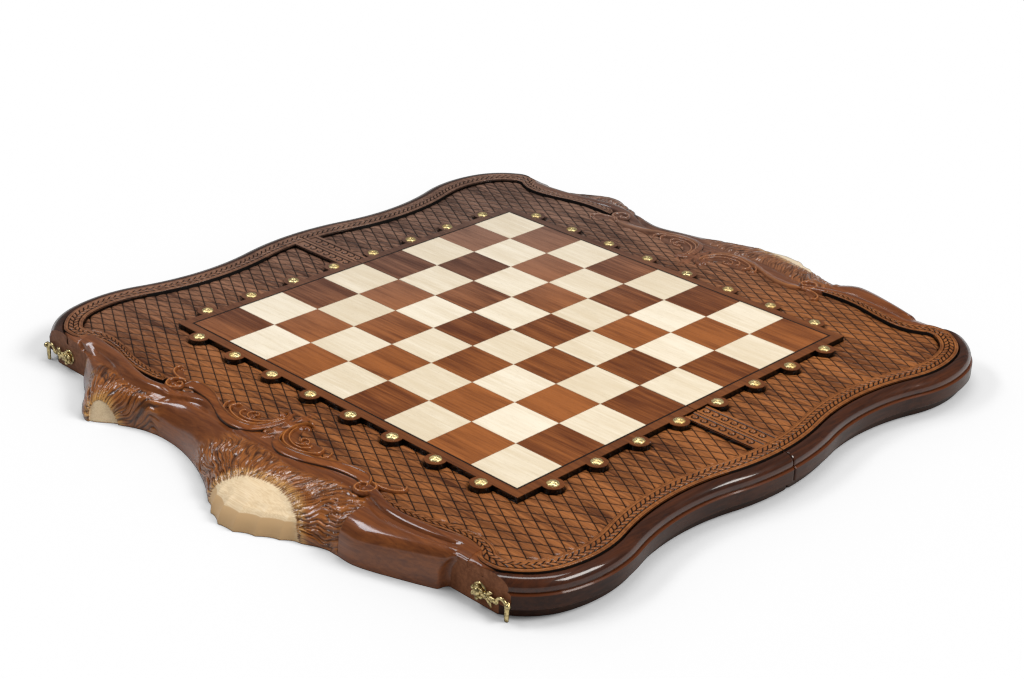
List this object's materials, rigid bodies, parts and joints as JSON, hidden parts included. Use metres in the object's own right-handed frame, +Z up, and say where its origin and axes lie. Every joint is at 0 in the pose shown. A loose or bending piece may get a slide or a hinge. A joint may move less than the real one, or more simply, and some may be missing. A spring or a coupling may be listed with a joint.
{
  "type": "folding chess and backgammon case",
  "caption": "Carved wooden game case in two hinged halves: an inlaid chess field outside with brass nails, trays with backgammon points inside, and hook clasps that hold it shut.",
  "frame": {"origin": "middle of the split between the halves, on the surface the open case lies on", "axes": "+X across the split towards the far half, +Y along the split, +Z up out of the chess field"},
  "size_m": [0.684, 0.596, 0.0343],
  "materials": {
    "carved_walnut": "stained walnut, carved, gloss lacquer",
    "plain_walnut": "stained walnut, gloss lacquer",
    "field_walnut": "walnut veneer, gloss lacquer",
    "field_maple": "maple veneer, gloss lacquer",
    "inside_veneer": "veneered board, satin lacquer",
    "dark_stringing": "dyed veneer strip, gloss lacquer",
    "nail_brass": "polished brass",
    "hinge_brass": "satin brass",
    "clasp_brass": "antiqued brass"
  },
  "bodies": {
    "near_half": {"near_left_rail": "carved_walnut", "near_right_rail": "carved_walnut", "near_end_block": "carved_walnut", "near_deck": "carved_walnut", "near_hinge_rail": "plain_walnut", "near_field_plate": "plain_walnut", "near_dark_squares": "field_walnut", "near_dark_points": "field_walnut", "near_light_squares": "field_maple", "near_light_points": "field_maple", "near_floor": "inside_veneer", "near_stringing": "dark_stringing", "near_field_nails": "nail_brass", "near_hinge_leaves": "hinge_brass", "near_hinge_pins": "hinge_brass", "near_hinge_screws": "hinge_brass", "left_clasp_base": "clasp_brass", "left_clasp_pivot": "clasp_brass", "right_clasp_base": "clasp_brass", "right_clasp_pivot": "clasp_brass"},
    "hinge_links": {"hinge_links": "hinge_brass"},
    "far_half": {"far_left_rail": "carved_walnut", "far_right_rail": "carved_walnut", "far_end_block": "carved_walnut", "far_deck": "carved_walnut", "far_hinge_rail": "plain_walnut", "far_field_plate": "plain_walnut", "far_dark_squares": "field_walnut", "far_dark_points": "field_walnut", "far_light_squares": "field_maple", "far_light_points": "field_maple", "far_floor": "inside_veneer", "far_stringing": "dark_stringing", "far_field_nails": "nail_brass", "far_hinge_leaves": "hinge_brass", "far_hinge_pins": "hinge_brass", "far_hinge_screws": "hinge_brass", "left_catch_post": "clasp_brass", "right_catch_post": "clasp_brass"},
    "left_hook": {"left_hook": "clasp_brass"},
    "right_hook": {"right_hook": "clasp_brass"}
  },
  "joints": [
    {"name": "link_turn", "type": "hinge", "parent": "near_half", "child": "hinge_links", "pos_m": [-0.004, 0, 0.00385], "axis": [0, 1, 0], "range_deg": [0, 90]},
    {"name": "fold", "type": "hinge", "parent": "hinge_links", "child": "far_half", "pos_m": [0.004, 0, 0.00385], "axis": [0, 1, 0], "range_deg": [0, 90]},
    {"name": "left_hook_swing", "type": "hinge", "parent": "near_half", "child": "left_hook", "pos_m": [-0.2795, 0.24103, 0.011], "axis": [-1, 0, 0], "range_deg": [0, 90]},
    {"name": "right_hook_swing", "type": "hinge", "parent": "near_half", "child": "right_hook", "pos_m": [-0.2795, -0.24103, 0.011], "axis": [1, 0, 0], "range_deg": [0, 90]}
  ]
}
